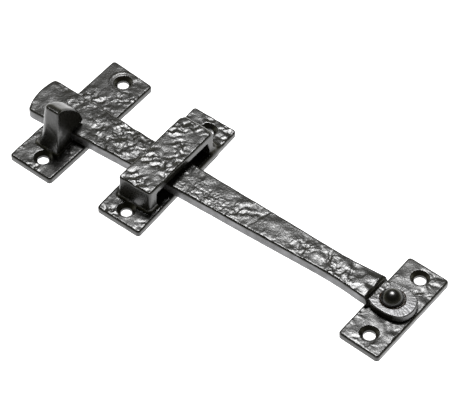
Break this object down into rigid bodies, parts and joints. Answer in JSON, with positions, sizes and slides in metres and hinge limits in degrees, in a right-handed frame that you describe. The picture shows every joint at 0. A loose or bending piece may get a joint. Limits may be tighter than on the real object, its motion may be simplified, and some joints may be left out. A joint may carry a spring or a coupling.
{
  "type": "pivoting bar latch set",
  "caption": "Flat cast bar that turns on a domed rivet, passes through a guide staple and drops behind the hook of a keep plate.",
  "frame": {"origin": "middle of the pivot plate's two screw holes, on the plates' common back plane", "axes": "+X along the bar away from its tip, +Y the way the tip lifts, +Z out of the door or shutter"},
  "size_m": [0.1792, 0.0639, 0.0253],
  "materials": {
    "plate_iron": "semi-gloss black paint over a lumpy cast surface",
    "bar_iron": "semi-gloss black paint over a lumpy cast surface",
    "rivet_black": "smooth satin black"
  },
  "bodies": {
    "fixed_plates": {"pivot_plate": "plate_iron", "pivot_rivet": "rivet_black", "staple_plate": "plate_iron", "keep_plate": "plate_iron"},
    "bar": {"latch_bar": "bar_iron"}
  },
  "joints": [
    {"name": "bar_lift", "type": "hinge", "parent": "fixed_plates", "child": "bar", "pos_m": [-0.0012, 0, 0.0045], "axis": [0, 0, -1], "range_deg": [0, 4.9]}
  ]
}
